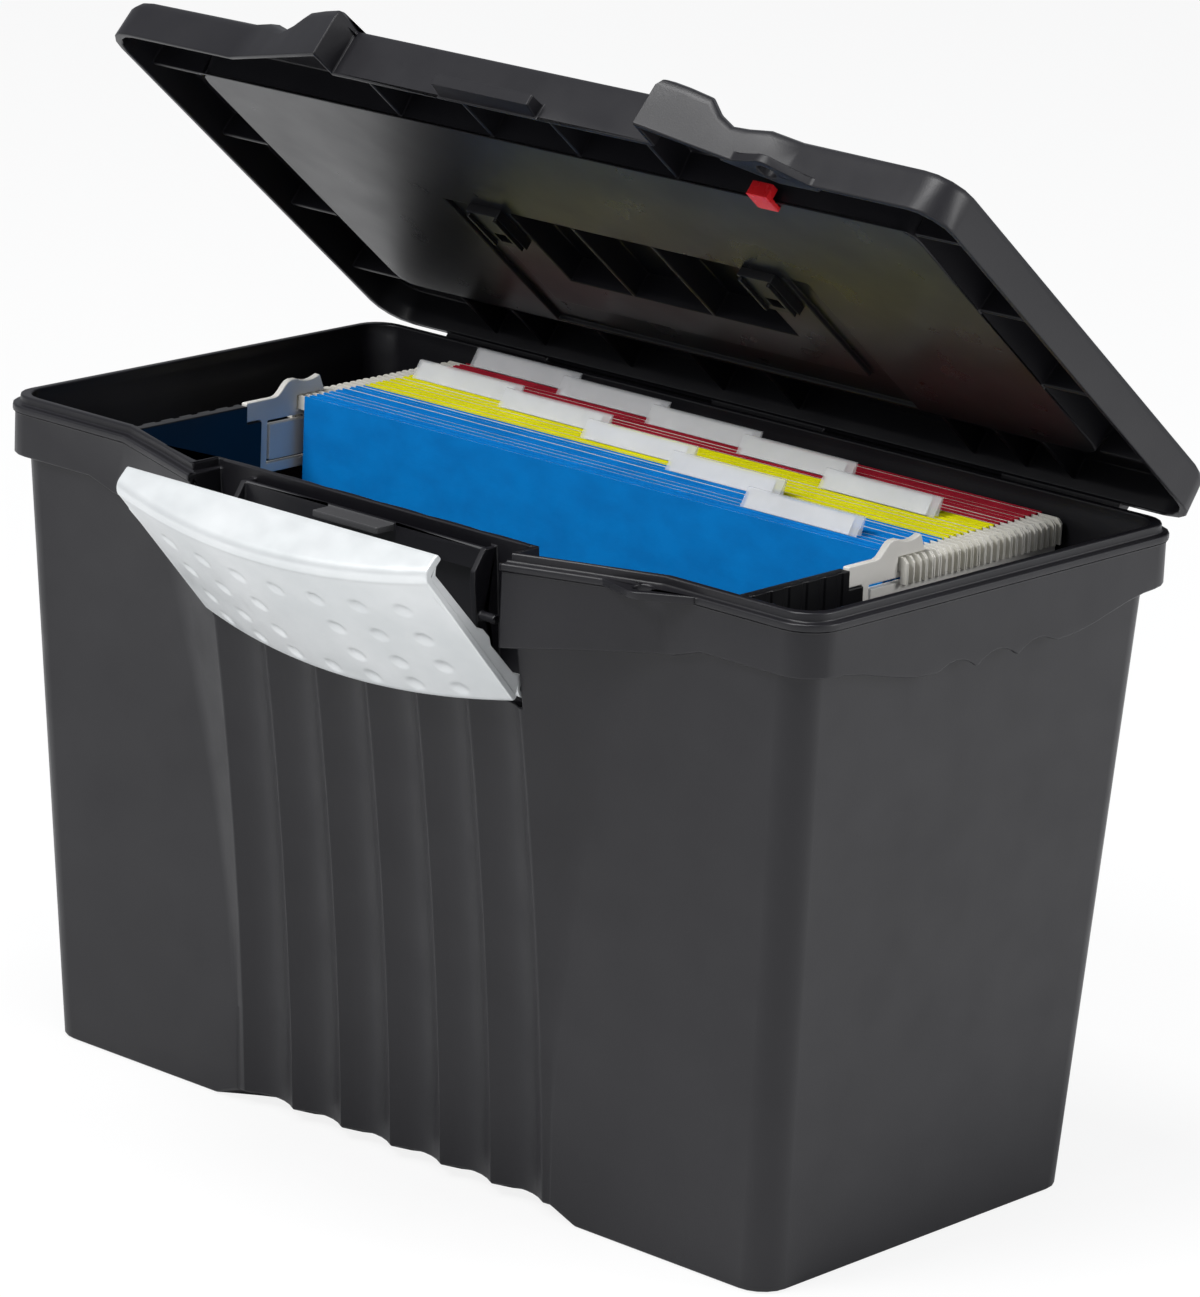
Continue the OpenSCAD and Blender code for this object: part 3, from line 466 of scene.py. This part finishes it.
area_light("key", (-0.5, -2.2, 2.5), (0, 0, 0.24), (1.1, 0.9), 66)
area_light("side", (2.3, 1.3, 1.3), (0.5, 0.4, 0), (1.0, 1.2), 40)
area_light("top", (0.0, -0.5, 2.7), (0, 0, 0.25), (0.9, 0.7), 40)

floor_mesh = bpy.data.meshes.new("floor")
floor_mesh.from_pydata([(-9, -9, 0), (9, -9, 0), (9, 14, 0), (-9, 14, 0)], [], [(0, 1, 2, 3)])
floor = bpy.data.objects.new("floor", floor_mesh)
floor.location.z = -0.0006
bpy.context.scene.collection.objects.link(floor)

floor_mat = bpy.data.materials.new("pale_floor")
floor_mat.use_nodes = True
nodes, links = floor_mat.node_tree.nodes, floor_mat.node_tree.links
base = nodes["Principled BSDF"]
base.inputs["Base Color"].default_value = (0.82, 0.82, 0.82, 1)
base.inputs["Roughness"].default_value = 0.9
glow = nodes.new("ShaderNodeEmission")
glow.inputs["Color"].default_value = (1, 1, 1, 1)
path = nodes.new("ShaderNodeLightPath")
share = nodes.new("ShaderNodeMath")
share.operation = "MULTIPLY"
share.inputs[1].default_value = 0.86
mix = nodes.new("ShaderNodeMixShader")
links.new(path.outputs["Is Camera Ray"], share.inputs[0])
links.new(share.outputs[0], mix.inputs["Fac"])
links.new(base.outputs["BSDF"], mix.inputs[1])
links.new(glow.outputs["Emission"], mix.inputs[2])
links.new(mix.outputs["Shader"], nodes["Material Output"].inputs["Surface"])
floor_mesh.materials.append(floor_mat)

world = bpy.data.worlds.new("studio")
bpy.context.scene.world = world
world.use_nodes = True
nodes, links = world.node_tree.nodes, world.node_tree.links
soft = nodes["Background"]
soft.inputs["Color"].default_value = (0.93, 0.95, 1.0, 1)
soft.inputs["Strength"].default_value = 0.4
white = nodes.new("ShaderNodeBackground")
white.inputs["Color"].default_value = (1, 1, 1, 1)
mix = nodes.new("ShaderNodeMixShader")
path = nodes.new("ShaderNodeLightPath")
links.new(path.outputs["Is Camera Ray"], mix.inputs["Fac"])
links.new(soft.outputs["Background"], mix.inputs[1])
links.new(white.outputs["Background"], mix.inputs[2])
links.new(mix.outputs["Shader"], nodes["World Output"].inputs["Surface"])

AZIMUTH, ELEVATION, ROLL = (math.radians(d) for d in (41.756, 15.979, 2.526))
TARGET, DISTANCE = Vector((16.305, 0, 192.73)) * MM, 2408.35 * MM
back = Vector((math.sin(AZIMUTH) * math.cos(ELEVATION), -math.cos(AZIMUTH) * math.cos(ELEVATION),
               math.sin(ELEVATION)))
right = Vector((math.cos(AZIMUTH), math.sin(AZIMUTH), 0))
upward = back.cross(right)
across = right * math.cos(ROLL) + upward * math.sin(ROLL)
above = upward * math.cos(ROLL) - right * math.sin(ROLL)
camera_data = bpy.data.cameras.new("camera")
camera_data.lens = 186.06
camera_data.sensor_width = 36
camera_data.sensor_fit = "HORIZONTAL"
camera = bpy.data.objects.new("camera", camera_data)
camera.matrix_world = Matrix.Translation(TARGET + back * DISTANCE) @ Matrix((across, above, back)).transposed().to_4x4()
bpy.context.scene.collection.objects.link(camera)
bpy.context.scene.camera = camera
bpy.context.scene.view_settings.view_transform = "Standard"
